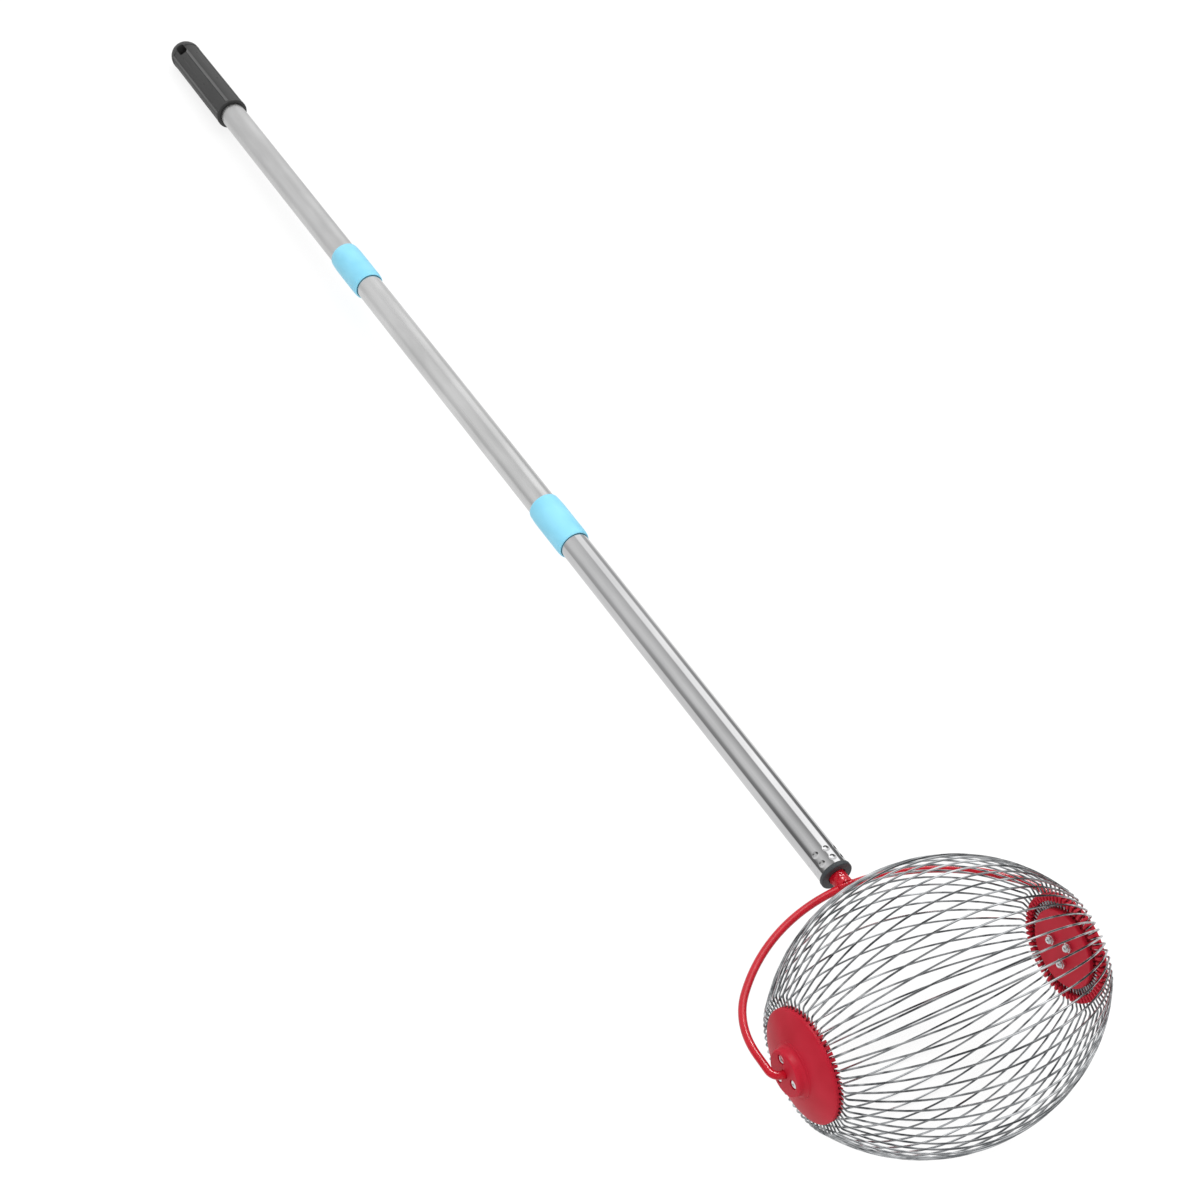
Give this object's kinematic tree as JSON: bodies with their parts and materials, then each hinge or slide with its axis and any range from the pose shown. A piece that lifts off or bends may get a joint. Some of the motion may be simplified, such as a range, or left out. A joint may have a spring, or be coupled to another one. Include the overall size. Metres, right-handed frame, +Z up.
{
  "type": "nut gatherer",
  "caption": "Rolling nut gatherer: a barrel of spring wires that spins between red caps in a bent rod yoke, on a sectional tube pole with screw collars and a grip.",
  "frame": {"origin": "middle of the bounding box on the ground, with the object lying on its cage and its grip", "axes": "+X along the cage's axle, +Y along the pole towards the grip, +Z up"},
  "size_m": [0.2852, 1.4585, 0.2063],
  "materials": {
    "tube_steel": "satin tube",
    "plug_plastic": "moulded",
    "grip_plastic": "fine ridges",
    "collar_plastic": "moulded",
    "yoke_paint": "gloss",
    "cap_plastic": "satin",
    "zinc": "bright zinc",
    "wire_steel": "drawn spring wire"
  },
  "bodies": {
    "lower_section": {"lower_tube": "tube_steel", "end_plug": "plug_plastic", "yoke_rod": "yoke_paint", "yoke_stem": "yoke_paint", "weld_beads": "yoke_paint", "axle_washers": "zinc", "axle_clips": "zinc", "lower_head": "plug_plastic"},
    "cage": {"left_cap": "cap_plastic", "right_cap": "cap_plastic", "left_clamp_disc": "cap_plastic", "right_clamp_disc": "cap_plastic", "cap_screws": "zinc", "dome_nuts": "zinc", "upper_rear_wires": "wire_steel", "upper_front_wires": "wire_steel", "lower_front_wires": "wire_steel", "lower_rear_wires": "wire_steel"},
    "middle_section": {"middle_tube": "tube_steel", "middle_foot": "plug_plastic", "middle_head": "plug_plastic"},
    "lower_collar": {"lower_collar": "collar_plastic"},
    "upper_section": {"upper_tube": "tube_steel", "upper_foot": "plug_plastic", "grip": "grip_plastic"},
    "upper_collar": {"upper_collar": "collar_plastic"}
  },
  "joints": [
    {"name": "cage_spin", "type": "hinge", "parent": "lower_section", "child": "cage", "pos_m": [0, -0.62614, 0.10313], "axis": [1, 0, 0], "continuous": true},
    {"name": "middle_slide", "type": "slide", "parent": "lower_section", "child": "middle_section", "axis": [0, 0.9979, -0.0653], "range_m": [0, 0.012]},
    {"name": "lower_collar_turn", "type": "hinge", "parent": "middle_section", "child": "lower_collar", "pos_m": [0, -0.07106, 0.06683], "axis": [0, 0.9979, -0.0653], "range_deg": [0, 1080]},
    {"name": "upper_slide", "type": "slide", "parent": "middle_section", "child": "upper_section", "axis": [0, 0.9979, -0.0653], "range_m": [0, 0.012]},
    {"name": "upper_collar_turn", "type": "hinge", "parent": "upper_section", "child": "upper_collar", "pos_m": [0, 0.31711, 0.04144], "axis": [0, 0.9979, -0.0653], "range_deg": [0, 1080]}
  ],
  "couplings": [
    {"joint": "lower_collar_turn", "follows": "middle_slide", "rad_per_m": 1570.8},
    {"joint": "upper_collar_turn", "follows": "upper_slide", "rad_per_m": 1570.8}
  ]
}
